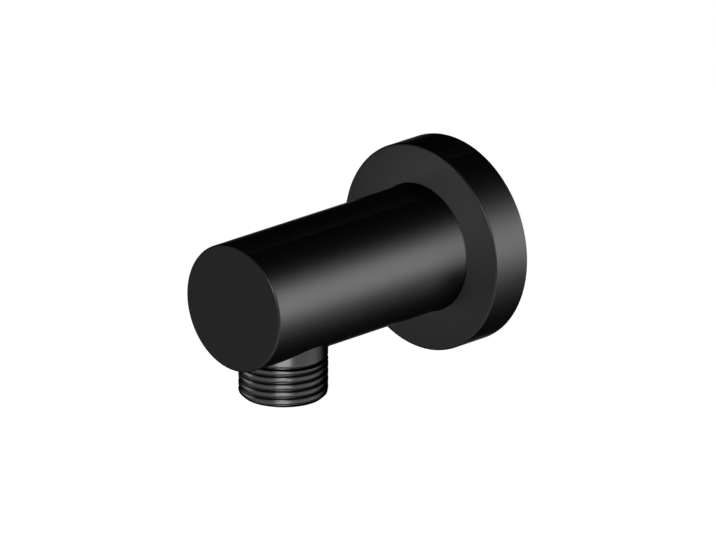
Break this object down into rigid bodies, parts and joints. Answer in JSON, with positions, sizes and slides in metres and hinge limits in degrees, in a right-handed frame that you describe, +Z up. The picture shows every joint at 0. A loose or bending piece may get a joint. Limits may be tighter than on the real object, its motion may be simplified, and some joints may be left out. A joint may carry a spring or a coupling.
{
  "type": "wall outlet elbow",
  "caption": "Round wall outlet elbow for a shower hose: a cylindrical body on a round rosette, with a threaded outlet pointing down and a non-return valve in it.",
  "frame": {"origin": "centre of the rosette's back rim, in the plane of the finished wall, on the body's axis", "axes": "+Y goes into the wall, the body reaches out along -Y, +Z is up and the outlet points down along -Z"},
  "size_m": [0.05, 0.0862, 0.05],
  "materials": {
    "black_coat": "matt black electro-coat on brass",
    "black_plating": "satin black plating on brass",
    "bare_brass": "turned, dull",
    "black_rubber": "smooth moulded",
    "white_plastic": "smooth moulded",
    "steel": "plain stainless"
  },
  "bodies": {
    "fitting": {"outlet_body": "black_coat", "cover_rosette": "black_coat", "wall_connector": "bare_brass", "locking_screw": "steel", "outlet_nipple": "black_plating", "valve_seat": "white_plastic", "valve_cage": "white_plastic", "valve_spring": "steel", "rosette_o_ring": "black_rubber", "wall_seal": "black_rubber", "connector_o_ring_front": "black_rubber", "connector_o_ring_rear": "black_rubber", "nipple_o_ring": "black_rubber", "valve_o_ring": "black_rubber"},
    "poppet": {"valve_poppet": "white_plastic", "poppet_o_ring": "black_rubber"}
  },
  "joints": [
    {"name": "valve_slide", "type": "slide", "parent": "fitting", "child": "poppet", "axis": [0, 0, -1], "range_m": [0, 0.0025], "stiffness_N_per_m": 270, "springref_m": -0.0012, "deforming": ["valve_spring"]}
  ]
}
